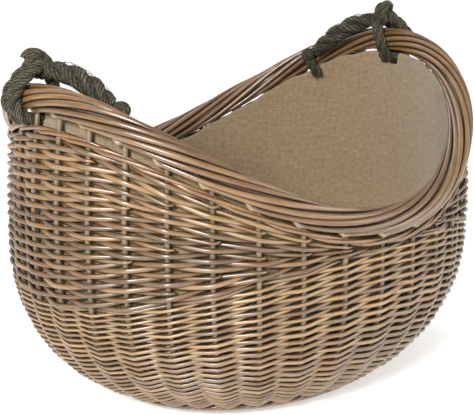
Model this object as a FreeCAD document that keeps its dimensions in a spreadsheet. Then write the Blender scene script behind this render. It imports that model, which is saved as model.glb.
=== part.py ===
import FreeCAD, Part
import math
import os

# Rope-handled log basket of woven willow: an oval bowl with a saddle-shaped rim.
# Frame: millimetres, +Z up, origin on the floor under the middle of the base.
# +X runs through the two high ends, -Y is the front.

Vec = FreeCAD.Vector
UP = Vec(0, 0, 1)

DIMENSIONS = (
    # the bowl, on the middle surface of its wall
    ("half_length", 317.0),          # at the widest height
    ("width_ratio", 0.83),           # half width over half length
    ("widest_height", 190.0),
    ("base_edge_radius", 136.0),
    ("base_edge_height", 10.0),
    ("upper_arc_radius", 1485.0),
    ("wall_thickness", 16.0),
    # the saddle rim, on the middle line of the rolled border
    ("rim_low", 258.0),
    ("rim_rise", 150.0),
    ("rim_half_length", 301.0),
    ("border_radius", 17.0),
    # the two-rod wale that runs below the border, and the seam of the packed ends
    ("wale_low", 238.0),
    ("wale_rise", 134.0),
    ("wale_height", 9.0),
    ("seam_height", 227.5),
    ("seam_drop", 53.0),
    ("seam_start", 30.0),            # distance from the middle where the packing begins
    # base
    ("foot_outer", 150.0),
    ("foot_inner", 129.0),
    ("foot_height", 18.0),
    ("foot_round", 4.0),
    ("base_gap", 2.0),               # the woven base clears the floor by this
    ("stick_radius", 4.0),
    ("stick_pitch", 26.0),
    ("stick_reach", 112.0),
    # stakes
    ("stake_radius", 3.25),
    ("stake_root", 118.0),
    ("stake_in_border", 12.0),       # a stake ends this far under the border's middle line
    # hessian liner
    ("liner_thickness", 2.0),
    ("liner_below_rim", 20.0),
    ("play", 0.3),
    # rope handles
    ("rope_radius", 7.7),
    ("grip_radius", 13.0),
    ("grip_bow", 9.0),
    ("knot_radius", 18.5),
    ("knot_rise", 45.0),             # knot above the border's middle line
    ("eye_pitch", 15.5),             # an eye is two turns of rope, side by side
    ("low_end_radius", 10.5),
    ("low_end_inside", 27.0),        # low end of a grip, inside the border's middle line
    ("low_end_rise", 10.0),
    ("knot_neck", 32.0),             # the rope between the knot and the thick of the grip
    ("rope_play", 0.6),
)

STAKE_COUNT = 36
STICKS_EACH_WAY = 4
FIRST_STAKE = 5.0
# Each handle: its two ends as angles round the rim, the end with the high knot first.
HANDLES = {"right": (0.0, 30.0), "left": (169.6, 200.0)}

doc = FreeCAD.newDocument("LogBasket")
sheet = doc.addObject("Spreadsheet::Sheet", "Dimensions")
for row, (alias, value) in enumerate(DIMENSIONS, start=1):
    sheet.set("A%d" % row, alias)
    sheet.set("B%d" % row, str(value))
    sheet.setAlias("B%d" % row, alias)
doc.recompute()

size = {alias: float(sheet.get(alias)) for alias, value in DIMENSIONS}
parts = []


def keep(obj, label):
    """Name a finished sub-part, and list it for export."""
    obj.Label = label
    parts.append(obj)
    return obj


def keep_shape(shape, label):
    """A sub-part whose shape is worked out here from the sheet's sizes."""
    obj = doc.addObject("Part::Feature", label)
    obj.Shape = shape
    obj.Placement = FreeCAD.Placement()
    return keep(obj, label)


def bind(obj, **expressions):
    for name, expression in expressions.items():
        obj.setExpression(name, expression)


# ---------------------------------------------------------------- the bowl's profile
# Two arcs that meet upright at the widest height: a round lower one that leaves the
# base level, and a long upper one that leans in a little towards the rim.

drop = size["widest_height"] - size["base_edge_height"]
reach = size["half_length"] - size["base_edge_radius"]
lower_centre = (size["half_length"] ** 2 - size["base_edge_radius"] ** 2 - drop ** 2) / (2 * reach)
lower_radius = size["half_length"] - lower_centre
upper_centre = size["half_length"] - size["upper_arc_radius"]


def profile_radius(height, offset=0.0):
    """Radius of the bowl at a height, before its width is scaled."""
    up = height - size["widest_height"]
    if up < 0:
        return lower_centre + math.sqrt((lower_radius + offset) ** 2 - up ** 2)
    return upper_centre + math.sqrt((size["upper_arc_radius"] + offset) ** 2 - up ** 2)


def lower_arc_height(radius, offset=0.0):
    run = radius - lower_centre
    return size["widest_height"] - math.sqrt((lower_radius + offset) ** 2 - run ** 2)


def profile_edges(start_radius, top_height, offset):
    """The lower and upper arc of the profile, in the XZ plane, from the bottom up."""
    def lower_point(radius):
        return Vec(radius, 0, lower_arc_height(radius, offset))

    def upper_point(height):
        return Vec(profile_radius(height, offset), 0, height)

    widest = size["widest_height"]
    turn_radius = lower_centre + (lower_radius + offset) * math.sqrt(0.5)
    return [
        Part.Arc(lower_point(start_radius), lower_point(turn_radius), upper_point(widest)).toShape(),
        Part.Arc(upper_point(widest), upper_point((widest + top_height) / 2), upper_point(top_height)).toShape(),
    ]


def full_shell(inner, outer, start_radius, top_height):
    """The bowl's wall between two offsets from its middle surface, turned round Z."""
    inside = profile_edges(start_radius, top_height, inner)
    outside = profile_edges(start_radius, top_height, outer)
    foot = Part.LineSegment(inside[0].Vertexes[0].Point, outside[0].Vertexes[0].Point).toShape()
    head = Part.LineSegment(inside[1].Vertexes[1].Point, outside[1].Vertexes[1].Point).toShape()
    wire = Part.Wire(Part.__sortEdges__(inside + outside + [foot, head]))
    return Part.Face(wire).revolve(Vec(0, 0, 0), UP, 360)


def narrow(shape):
    """Scale the width, which turns the round bowl into the oval one."""
    scale = FreeCAD.Matrix()
    scale.A22 = size["width_ratio"]
    return shape.transformGeometry(scale)


# ---------------------------------------------------------------- saddle curves
SPREAD = 360.0


def saddle_height(x, low, rise):
    return low + rise * (x / size["rim_half_length"]) ** 2


def saddle_edge(low, rise):
    """A parabola across the bowl, low in the middle and high at both ends."""
    steps = (-1, -0.75, -0.5, -0.25, 0, 0.25, 0.5, 0.75, 1)
    curve = Part.BSplineCurve()
    curve.interpolate([Vec(s * SPREAD, -SPREAD, saddle_height(s * SPREAD, low, rise)) for s in steps])
    return curve.toShape()


def between_saddles(under, over):
    """A block as wide as the bowl, between two saddle curves (low, rise)."""
    bottom = saddle_edge(*under)
    top = saddle_edge(*over)
    sides = [Part.LineSegment(bottom.Vertexes[i].Point, top.Vertexes[i].Point).toShape() for i in (0, 1)]
    wire = Part.Wire(Part.__sortEdges__([bottom, sides[1], top, sides[0]]))
    return Part.Face(wire).extrude(Vec(0, 2 * SPREAD, 0))


RIM = (size["rim_low"], size["rim_rise"])
WALE_TOP = (size["wale_low"], size["wale_rise"])
WALE_FOOT = (size["wale_low"] - size["wale_height"], size["wale_rise"])
SEAM = (size["seam_height"], -size["seam_drop"])
BELOW_ALL = (-50.0, 0.0)


def lifted(saddle, distance):
    return (saddle[0] + distance, saddle[1])


def rim_point(degrees):
    """Middle of the rolled border at an angle round the oval."""
    angle = math.radians(degrees)
    height = size["rim_low"]
    for step in range(30):
        radius = profile_radius(height)
        height = saddle_height(radius * math.cos(angle), *RIM)
    return Vec(radius * math.cos(angle), size["width_ratio"] * radius * math.sin(angle), height)


def rim_direction(degrees):
    return (rim_point(degrees + 0.5) - rim_point(degrees - 0.5)).normalize()


# ---------------------------------------------------------------- tubes
def circle_wire(centre, direction, radius):
    return Part.Wire(Part.Circle(centre, direction, radius).toShape())


def tube(path, radius):
    """A round rod or rope along a wire."""
    first = path.OrderedEdges[0]
    start = path.OrderedVertexes[0].Point
    near = first.valueAt(first.FirstParameter)
    parameter = first.FirstParameter if near.isEqual(start, 1e-5) else first.LastParameter
    section = circle_wire(start, first.tangentAt(parameter), radius)
    return path.makePipeShell([section], True, False)


def rounded_path(points):
    """Straight runs joined by tangent arcs as large as the runs allow."""
    edges = []
    here = points[0]
    for before, corner, after in zip(points, points[1:], points[2:]):
        arriving = corner - before
        leaving = after - corner
        cut = 0.45 * min(arriving.Length, leaving.Length)
        arriving.normalize()
        leaving.normalize()
        half_turn = arriving.getAngle(leaving) / 2
        radius = cut / math.tan(half_turn)
        start = corner - arriving * cut
        end = corner + leaving * cut
        inward = (leaving - arriving).normalize()
        middle = corner + inward * (radius / math.cos(half_turn) - radius)
        edges.append(Part.LineSegment(here, start).toShape())
        edges.append(Part.Arc(start, middle, end).toShape())
        here = end
    edges.append(Part.LineSegment(here, points[-1]).toShape())
    return Part.Wire(edges)


# ---------------------------------------------------------------- base
def oval_plate(name, radius, height, bottom):
    """An upright oval plate whose outline is the base's oval at this radius."""
    outline = doc.addObject("Part::Ellipse", name + "_outline")
    bind(outline, MajorRadius=radius, MinorRadius="(%s) * Dimensions.width_ratio" % radius)
    plate = doc.addObject("Part::Extrusion", name)
    plate.Base = outline
    plate.DirMode = "Custom"
    plate.Dir = UP
    plate.Solid = True
    bind(plate, LengthFwd=height)
    outline.setExpression("Placement.Base.z", bottom)
    return plate


def make_foot_wale():
    """The heavy ring of four-rod wale round the base: the basket stands on it."""
    ring = doc.addObject("Part::Cut", "foot_ring")
    ring.Base = oval_plate("foot_outside", "Dimensions.foot_outer", "Dimensions.foot_height", "0")
    ring.Tool = oval_plate("foot_inside", "Dimensions.foot_inner", "Dimensions.foot_height", "0")
    doc.recompute()
    rounded = doc.addObject("Part::Fillet", "foot_wale")
    rounded.Base = ring
    flat = [i for i, edge in enumerate(ring.Shape.Edges, start=1)
            if edge.BoundBox.ZLength < 0.01]
    rounded.Edges = [(i, size["foot_round"], size["foot_round"]) for i in flat]
    keep(rounded, "foot_wale")


def make_base_weave():
    """The woven oval inside the foot ring."""
    keep(oval_plate("base_weave", "Dimensions.foot_inner - Dimensions.play",
                    "Dimensions.foot_height - Dimensions.base_gap", "Dimensions.base_gap"), "base_weave")


def make_base_sticks():
    """Two groups of willow sticks that cross in the base: the weave goes round them."""
    middle = "(Dimensions.foot_height + Dimensions.base_gap) / 2"
    for index in range(STICKS_EACH_WAY):
        place = "Dimensions.stick_pitch * %g" % (index - (STICKS_EACH_WAY - 1) / 2)
        long_stick = doc.addObject("Part::Cylinder", "base_stick_long_%d" % (index + 1))
        bind(long_stick, Radius="Dimensions.stick_radius", Height="2 * Dimensions.stick_reach")
        long_stick.Placement = FreeCAD.Placement(Vec(), FreeCAD.Rotation(Vec(0, 1, 0), 90))
        long_stick.setExpression("Placement.Base.x", "-Dimensions.stick_reach")
        long_stick.setExpression("Placement.Base.y", "%s * Dimensions.width_ratio" % place)
        long_stick.setExpression("Placement.Base.z", middle)
        keep(long_stick, "base_stick_long_%d" % (index + 1))
        short_stick = doc.addObject("Part::Cylinder", "base_stick_short_%d" % (index + 1))
        bind(short_stick, Radius="Dimensions.stick_radius",
             Height="2 * Dimensions.stick_reach * Dimensions.width_ratio")
        short_stick.Placement = FreeCAD.Placement(Vec(), FreeCAD.Rotation(Vec(1, 0, 0), -90))
        short_stick.setExpression("Placement.Base.x", place)
        short_stick.setExpression("Placement.Base.y", "-Dimensions.stick_reach * Dimensions.width_ratio")
        short_stick.setExpression("Placement.Base.z", middle)
        keep(short_stick, "base_stick_short_%d" % (index + 1))


# ---------------------------------------------------------------- wall
def stake_route(angle):
    """Corner points of a stake: along the base level, up the wall, and into the border."""
    turns = 4
    step = math.pi / 2 / turns
    corner_radius = lower_radius / math.cos(step / 2)
    top = rim_point(angle).z - size["stake_in_border"]
    middle = (size["widest_height"] + top) / 2
    level = size["widest_height"] - lower_radius
    outline = [(size["stake_root"], level)]
    for turn in range(turns):
        below = math.pi / 2 - (turn + 0.5) * step
        outline.append((lower_centre + corner_radius * math.cos(below),
                        size["widest_height"] - corner_radius * math.sin(below)))
    outline.append((2 * profile_radius(middle) - (size["half_length"] + profile_radius(top)) / 2, middle))
    outline.append((profile_radius(top), top))
    turned = math.radians(angle)
    across = size["width_ratio"] * math.sin(turned)
    return [Vec(radius * math.cos(turned), radius * across, height) for radius, height in outline]


def make_stakes():
    """Upright rods: each leaves the base level, bends up the wall and ends in the border."""
    for index in range(STAKE_COUNT):
        route = stake_route(FIRST_STAKE + index * 360.0 / STAKE_COUNT)
        keep_shape(tube(rounded_path(route), size["stake_radius"]), "stake_%02d" % (index + 1))


def rope_gaps():
    """Where a rope goes through under the border, the weave is bent away round it."""
    reach_down = size["border_radius"] + 2 * size["rope_radius"] + size["rope_play"] + 4.0
    width = size["eye_pitch"] + 2 * size["rope_radius"] + 3.0
    gaps = []
    for feet in HANDLES.values():
        for degrees in feet:
            along = rim_direction(degrees)
            start = rim_point(degrees) - along * (width / 2)
            gaps.append(Part.makeCylinder(reach_down, width, start, along))
    return gaps


def make_weave():
    """The woven wall in its four areas, each a closed shell round the stakes."""
    half = size["wall_thickness"] / 2
    start = size["foot_outer"] + size["play"]
    wall = full_shell(-half, half, start, 2 * size["widest_height"] + 50)
    play = size["play"]
    gaps = rope_gaps()

    lower = wall.common(between_saddles(BELOW_ALL, SEAM))
    keep_shape(narrow(lower), "lower_weave")

    packed = wall.common(between_saddles(lifted(SEAM, play), lifted(WALE_FOOT, -play)))
    block = Part.makeBox(SPREAD, 2 * SPREAD, 2 * SPREAD)
    for side, left_edge in (("left", -size["seam_start"] - SPREAD), ("right", size["seam_start"])):
        area = block.copy()
        area.translate(Vec(left_edge, -SPREAD, -SPREAD / 2))
        end = narrow(packed.common(area)).cut(gaps)
        keep_shape(end, "end_weave_" + side)

    wale = wall.common(between_saddles(WALE_FOOT, WALE_TOP))
    keep_shape(narrow(wale).cut(gaps), "top_wale")


def make_border():
    """The rolled border: the stakes' own ends, laid down one after another along the rim."""
    curve = Part.BSplineCurve()
    curve.interpolate([rim_point(10.0 * i) for i in range(36)], PeriodicFlag=True)
    first, last = curve.FirstParameter, curve.LastParameter
    middle = (first + last) / 2
    halves = [tube(Part.Wire(curve.toShape(start, end)), size["border_radius"])
              for start, end in ((first, middle), (middle, last))]
    keep_shape(halves[0].fuse(halves[1]).Solids[0], "border")


# ---------------------------------------------------------------- hessian liner
def make_liner():
    """A sewn hessian bag: a wall up to the border and an oval bottom panel."""
    face = -size["wall_thickness"] / 2 - size["play"]
    wall = full_shell(face - size["liner_thickness"], face, lower_centre + 1.0,
                      2 * size["widest_height"] + 50)
    wall = wall.common(between_saddles(BELOW_ALL, lifted(RIM, -size["liner_below_rim"])))
    keep_shape(narrow(wall).cut(rope_gaps()), "liner_wall")
    keep(oval_plate("liner_base", "%g" % lower_centre, "Dimensions.liner_thickness",
                    "Dimensions.foot_height + Dimensions.play"), "liner_base")


# ---------------------------------------------------------------- rope handles
def rope_frame(degrees):
    """The border's middle at an angle, and the ways along it, up and outward."""
    foot = rim_point(degrees)
    along = rim_direction(degrees)
    up = (UP - along * UP.dot(along)).normalize()
    return foot, along, up, along.cross(up)


def knot_centre(degrees):
    foot, along, up, across = rope_frame(degrees)
    return foot + up * size["knot_rise"]


def low_end_centre(degrees):
    foot, along, up, across = rope_frame(degrees)
    return foot - across * size["low_end_inside"] + up * size["low_end_rise"]


def make_high_eye(label, degrees, low):
    """Two turns of rope round the border, the knot above them, and its neck towards the low end."""
    foot, along, up, across = rope_frame(degrees)
    rise = size["knot_rise"]
    crown = knot_centre(degrees)
    big = size["border_radius"] + size["rope_radius"] + size["rope_play"]
    small = size["rope_radius"] + 0.5
    lean = math.asin((big - small) / rise)

    def on_circle(centre, radius, side):
        return centre + across * (side * radius * math.cos(lean)) + up * (radius * math.sin(lean))

    eye = Part.makeSphere(size["knot_radius"], crown, low - crown)
    for turn in (-0.5, 0.5):
        shift = along * (turn * size["eye_pitch"])
        middle, top = foot + shift, crown + shift
        right_low, left_low = on_circle(middle, big, 1), on_circle(middle, big, -1)
        loop = Part.Wire([
            Part.LineSegment(on_circle(top, small, 1), right_low).toShape(),
            Part.Arc(right_low, middle - up * big, left_low).toShape(),
            Part.LineSegment(left_low, on_circle(top, small, -1)).toShape(),
        ])
        eye = eye.fuse(tube(loop, size["rope_radius"]))
    neck = Part.makeCylinder(size["rope_radius"], size["knot_neck"], crown, low - crown)
    keep_shape(eye.fuse(neck).Solids[0], label)


def make_low_end(label, degrees):
    """The bound low end of a grip, inside the border, and its tail tucked under the border."""
    foot, along, up, across = rope_frame(degrees)
    inside = size["low_end_inside"]
    crown = low_end_centre(degrees)
    under = size["border_radius"] + size["rope_radius"] + 2.0
    tail = rounded_path([crown, foot - across * (inside + 1.0) - up * 14.0,
                         foot - across * 9.0 - up * (under + 0.5), foot - up * under])
    end = tube(tail, size["rope_radius"]).fuse(Part.makeSphere(size["low_end_radius"], crown, along))
    keep_shape(end.Solids[0], label)


def make_grip(label, high, low):
    """The thick spliced grip between the knot and the low end, tapered where it meets them."""
    along = (low - high)
    span = along.Length
    along.normalize()
    up = (UP - along * UP.dot(along)).normalize()
    bow = size["grip_bow"]
    start = size["knot_neck"] + size["rope_play"]
    route = [high, high + along * start, high + along * (0.45 * span) + up * bow,
             high + along * (0.77 * span) + up * (0.7 * bow), low]
    path = rounded_path(route)
    sections = []
    thin, thick = size["rope_radius"], size["grip_radius"]
    for share, radius in ((0.19, thin), (0.32, 0.85 * thick), (0.44, thick), (0.56, thick),
                          (0.68, thick), (0.82, 0.8 * thick), (0.94, thin)):
        point, tangent = along_wire(path, share)
        sections.append(circle_wire(point, tangent, radius))
    grip = Part.makeLoft(sections, True, False)
    grip = grip.cut(Part.makeCylinder(2 * thick, start, high, along))
    grip = grip.cut(Part.makeSphere(size["low_end_radius"] + size["rope_play"], low))
    keep_shape(grip.Solids[0], label)


def along_wire(path, share):
    """Point and direction at a share of a wire's length."""
    wanted = share * path.Length
    for edge in path.OrderedEdges:
        if wanted <= edge.Length:
            parameter = edge.getParameterByLength(wanted)
            return edge.valueAt(parameter), edge.tangentAt(parameter)
        wanted -= edge.Length
    last = path.OrderedEdges[-1]
    return last.valueAt(last.LastParameter), last.tangentAt(last.LastParameter)


def make_handles():
    for side, (high_foot, low_foot) in HANDLES.items():
        high, low = knot_centre(high_foot), low_end_centre(low_foot)
        make_high_eye(side + "_high_eye", high_foot, low)
        make_low_end(side + "_low_end", low_foot)
        make_grip(side + "_grip", high, low)
        print(side, "hinge line from", [round(v, 3) for v in high], "to", [round(v, 3) for v in low])


make_base_weave()
make_base_sticks()
make_foot_wale()
make_stakes()
make_weave()
make_border()
make_liner()
make_handles()
doc.recompute()

for obj in doc.Objects:
    if "Invalid" in obj.State or "Error" in obj.State:
        raise RuntimeError("%s did not build: %s" % (obj.Label, obj.State))

os.makedirs("parts", exist_ok=True)
for obj in parts:
    if obj.Shape.isNull() or not obj.Shape.isValid():
        raise RuntimeError("%s has no valid shape" % obj.Label)
    obj.Shape.exportStep("parts/%s.step" % obj.Label)
print(len(parts), "sub-parts written")
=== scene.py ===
"""Looks of a rope-handled willow log basket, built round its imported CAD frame. Metres, +Z up."""
import math

import bpy
import numpy as np
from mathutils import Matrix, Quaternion, Vector


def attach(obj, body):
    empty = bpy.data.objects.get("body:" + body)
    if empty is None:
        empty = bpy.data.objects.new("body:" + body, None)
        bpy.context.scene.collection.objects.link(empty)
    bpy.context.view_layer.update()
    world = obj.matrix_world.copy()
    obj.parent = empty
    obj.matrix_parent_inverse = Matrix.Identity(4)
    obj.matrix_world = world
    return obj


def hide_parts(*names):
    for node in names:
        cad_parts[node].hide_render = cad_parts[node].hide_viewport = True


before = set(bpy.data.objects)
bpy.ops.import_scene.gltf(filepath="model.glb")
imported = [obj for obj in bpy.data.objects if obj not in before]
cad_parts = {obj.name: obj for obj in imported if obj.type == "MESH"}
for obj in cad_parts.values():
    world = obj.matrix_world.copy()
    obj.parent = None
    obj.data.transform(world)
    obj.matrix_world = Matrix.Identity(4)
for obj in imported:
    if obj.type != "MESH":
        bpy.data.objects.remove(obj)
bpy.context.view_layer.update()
random = np.random.default_rng(36)

# ---------------------------------------------------------------- driving dimensions
HALF_LENGTH = 0.317            # middle of the wall at the widest height
WIDTH_RATIO = 0.83
WIDEST = 0.190
BASE_EDGE = 0.136
BASE_LEVEL = 0.010
UPPER_ARC = 1.485
RIM_LOW, RIM_RISE = 0.258, 0.150
WALE_TOP_LOW, WALE_DROOP = 0.238, 0.016
WALE_HEIGHT = 0.009
WALE_LIFT = 0.001              # the wale's rods sit this much above the middle of their band
WALE_ROD, WALE_SLANT = 0.0024, 0.0023
WALE_DEPTH = 0.0066            # from the middle of the wall to a rod in front of its stakes
SEAM_HEIGHT, SEAM_DROP = 0.2275, 0.053
RIM_HALF_LENGTH = 0.301
STAKE_COUNT = 36
FIRST_STAKE = math.radians(5.0)
GAP = 2 * math.pi / STAKE_COUNT
STAKE_RADIUS = 0.00325
BORDER_RADIUS = 0.017
BORDER_ROD = 0.0039
KNOT_RADIUS = 0.0185
ROPE_RADIUS = 0.0077
GRIP_RADIUS = 0.013
ROPE_PLAY = 0.0006             # gap between the eyes' rope and the border
KNOT_ROPE = ROPE_RADIUS * 0.93
KNOT_RISE = 0.045
KNOT_NECK = 0.032
KNOT_LEAN = 0.020              # how far the knot has slipped along its neck
KNOT_TURNS, KNOT_HALF_WIDTH = 1.75, 0.0065
EYE_ROPE = 0.0084              # the eyes' rope lies a little looser than the neck's
EYE_CREEP = 1.0                # degrees that the eye has crept along the rim towards the grip
LOW_END_RADIUS = 0.0105
LOW_END_INSIDE, LOW_END_RISE = 0.027, 0.010
BINDING_TURNS, BINDING_HALF_WIDTH, TWINE_RADIUS = 6, 0.0075, 0.0014
LOW_END_SAG = 0.003            # how far the bound end hangs below its place
TAIL_DROP = 0.0235             # how far below the rim's middle line its tail ends
LINER_BELOW_RIM = 0.0155
# degrees round the rim of each handle's high eye and of its low end
HANDLES = {"right": (0.0, 30.0), "left": (169.6, 200.0)}

DROP = WIDEST - BASE_LEVEL
LOWER_CENTRE = (HALF_LENGTH ** 2 - BASE_EDGE ** 2 - DROP ** 2) / (2 * (HALF_LENGTH - BASE_EDGE))
LOWER_ARC = HALF_LENGTH - LOWER_CENTRE
START_TURN = math.asin((BASE_EDGE - LOWER_CENTRE) / LOWER_ARC)
LOWER_RUN = LOWER_ARC * (math.pi / 2 - START_TURN)


# ---------------------------------------------------------------- the wall's surface
def unit(vectors):
    return vectors / np.linalg.norm(vectors, axis=-1, keepdims=True)


def profile(run):
    """Radius, height and normal of the bowl's profile, at a distance up it from the base."""
    low = START_TURN + run / LOWER_ARC
    high = (run - LOWER_RUN) / UPPER_ARC
    below = run < LOWER_RUN
    radius = np.where(below, LOWER_CENTRE + LOWER_ARC * np.sin(low),
                      HALF_LENGTH - UPPER_ARC + UPPER_ARC * np.cos(high))
    height = np.where(below, WIDEST - LOWER_ARC * np.cos(low), WIDEST + UPPER_ARC * np.sin(high))
    normal_out = np.where(below, np.sin(low), np.cos(high))
    normal_up = np.where(below, -np.cos(low), np.sin(high))
    return radius, height, normal_out, normal_up


def run_at(height):
    """Distance up the profile at which it reaches a height."""
    low = np.arccos(np.clip((WIDEST - height) / LOWER_ARC, -1, 1)) - START_TURN
    high = np.arcsin(np.clip((height - WIDEST) / UPPER_ARC, -1, 1))
    return np.where(height < WIDEST, low * LOWER_ARC, LOWER_RUN + high * UPPER_ARC)


def wall(angle, run, out=0.0):
    """Point and outward normal of the wall, at an angle round the oval and a distance up it."""
    radius, height, normal_out, normal_up = profile(run)
    cosine, sine = np.cos(angle), np.sin(angle)
    normal = unit(np.stack([WIDTH_RATIO * cosine * normal_out, sine * normal_out,
                            WIDTH_RATIO * normal_up], axis=-1))
    point = np.stack([radius * cosine, WIDTH_RATIO * radius * sine, height], axis=-1)
    return point + normal * np.expand_dims(np.broadcast_to(out, np.shape(angle)), -1), normal


def saddle_run(angle, low, rise, droop=0.0):
    """Distance up the wall of a saddle curve, whose height follows the square of x, less a droop."""
    height = np.full(np.shape(angle), low)
    for _ in range(25):
        radius = profile(run_at(height))[0]
        place = radius * np.cos(angle) / RIM_HALF_LENGTH
        height = low + rise * place ** 2 - droop * place ** 4
    return run_at(height)


def seam_run(angle):
    """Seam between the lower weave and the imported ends."""
    return saddle_run(angle, SEAM_HEIGHT, -SEAM_DROP)


def wale_run(angle):
    """Foot of the wale that runs under the border."""
    return saddle_run(angle, WALE_TOP_LOW - WALE_HEIGHT, RIM_RISE, WALE_DROOP)


def rim_frame(angle):
    """Middle line of the border and its directions: along it, outward and up."""
    middle = wall(angle, saddle_run(angle, RIM_LOW, RIM_RISE))[0]
    step = 0.004
    ahead = wall(angle + step, saddle_run(angle + step, RIM_LOW, RIM_RISE))[0]
    behind = wall(angle - step, saddle_run(angle - step, RIM_LOW, RIM_RISE))[0]
    along = unit(ahead - behind)
    up = np.array([0.0, 0.0, 1.0]) - along * along[..., 2:3]
    up = unit(up)
    return middle, along, np.cross(along, up), up


# ---------------------------------------------------------------- meshes of rods and strands
class Bundle:
    """Rods, strands or threads gathered into one mesh."""

    def __init__(self):
        self.points, self.faces, self.local, self.tint = [], [], [], []
        self.count = 0

    def sweep(self, path, radius, facing, tint, sides=6, flat=1.0, closed=False):
        """A round or flattened rod along a path; facing is the way its flat side looks."""
        path = np.asarray(path, float)
        number = len(path)
        radius = np.broadcast_to(radius, number)
        if closed:
            forward = np.roll(path, -1, axis=0) - np.roll(path, 1, axis=0)
        else:
            forward = np.gradient(path, axis=0)
        forward = unit(forward)
        side = unit(np.cross(forward, facing))
        out = np.cross(side, forward)
        turn = 2 * np.pi * np.arange(sides) / sides
        cosine, sine = np.cos(turn), np.sin(turn)
        ring = (out[:, None] * (flat * cosine)[None, :, None] + side[:, None] * sine[None, :, None])
        points = path[:, None] + ring * radius[:, None, None]
        length = np.concatenate([[0], np.cumsum(np.linalg.norm(np.diff(path, axis=0), axis=1))])
        shift = random.uniform(0, 40)
        local = np.stack([np.repeat(length + shift, sides), np.outer(radius, cosine).ravel(),
                          np.outer(radius, sine).ravel()], axis=-1)
        rings = number if closed else number - 1
        row = np.arange(rings)[:, None]
        column = np.arange(sides)[None, :]
        after = (row + 1) % number
        beside = (column + 1) % sides
        faces = np.stack([row * sides + column, after * sides + column,
                          after * sides + beside, row * sides + beside], axis=-1).reshape(-1, 4)
        self.faces += (faces + self.count).tolist()
        if not closed:
            self.faces.append([self.count + i for i in range(sides)])
            self.faces.append([self.count + (number - 1) * sides + i for i in reversed(range(sides))])
        self.points.append(points.reshape(-1, 3))
        self.local.append(local)
        tint = np.asarray(tint, float)
        if tint.ndim == 1:
            tint = np.tile(tint, (number, 1))
        self.tint.append(np.repeat(tint, sides, axis=0))
        self.count += number * sides

    def build(self, name, material, body, replaces=()):
        make_piece(name, np.concatenate(self.points), self.faces, material, body, replaces,
                   np.concatenate(self.local), np.concatenate(self.tint))


def make_piece(name, points, faces, material, body, replaces, local, tint):
    """A smooth mesh with its texture space and tint, riding on a body of the frame."""
    mesh = bpy.data.meshes.new(name)
    mesh.from_pydata(points.tolist(), [], faces)
    mesh.attributes.new("rod_space", "FLOAT_VECTOR", "POINT").data.foreach_set(
        "vector", local.astype(np.float32).ravel())
    full = np.concatenate([tint, np.ones((len(tint), 1))], axis=1)
    mesh.attributes.new("tint", "FLOAT_COLOR", "POINT").data.foreach_set(
        "color", full.astype(np.float32).ravel())
    mesh.polygons.foreach_set("use_smooth", [True] * len(mesh.polygons))
    mesh.materials.append(material)
    mesh.validate()
    mesh.update()
    piece = bpy.data.objects.new(name, mesh)
    bpy.context.scene.collection.objects.link(piece)
    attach(piece, body)
    if replaces:
        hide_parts(*replaces)
    return piece


def rod_tint(light=0.5, spread=0.5):
    """A rod's own colour (place in the palette) and lightness; the last number marks a cut end."""
    return [random.uniform(0, 1), light + spread * random.uniform(-0.5, 0.5), 0.0]


# ---------------------------------------------------------------- materials
def new_material(name):
    material = bpy.data.materials.new(name)
    material.use_nodes = True
    tree = material.node_tree
    shader = tree.nodes["Principled BSDF"]
    return material, tree, shader


def node(tree, kind, inputs=None, **settings):
    """A shader node with its settings, values and links."""
    made = tree.nodes.new("ShaderNode" + kind)
    for key, value in settings.items():
        setattr(made, key, value)
    for key, value in (inputs or {}).items():
        if isinstance(value, bpy.types.NodeSocket):
            tree.links.new(value, made.inputs[key])
        else:
            made.inputs[key].default_value = value
    return made


def ramp(tree, factor, stops):
    made = node(tree, "ValToRGB", {"Fac": factor})
    elements = made.color_ramp.elements
    while len(elements) < len(stops):
        elements.new(0.5)
    for element, (place, colour) in zip(elements, stops):
        element.position = place
        element.color = (*colour, 1.0)
    return made.outputs["Color"]


def mix(tree, kind, factor, first, second):
    made = tree.nodes.new("ShaderNodeMix")
    made.data_type = "RGBA"
    made.blend_type = kind
    for place, value in ((0, factor), (6, first), (7, second)):
        if isinstance(value, bpy.types.NodeSocket):
            tree.links.new(value, made.inputs[place])
        elif place == 0:
            made.inputs[place].default_value = value
        else:
            made.inputs[place].default_value = (*value, 1.0)
    return made.outputs[2]


def stretched(tree, source, scale):
    return node(tree, "VectorMath", {0: source, 1: scale}, operation="MULTIPLY").outputs[0]


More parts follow.
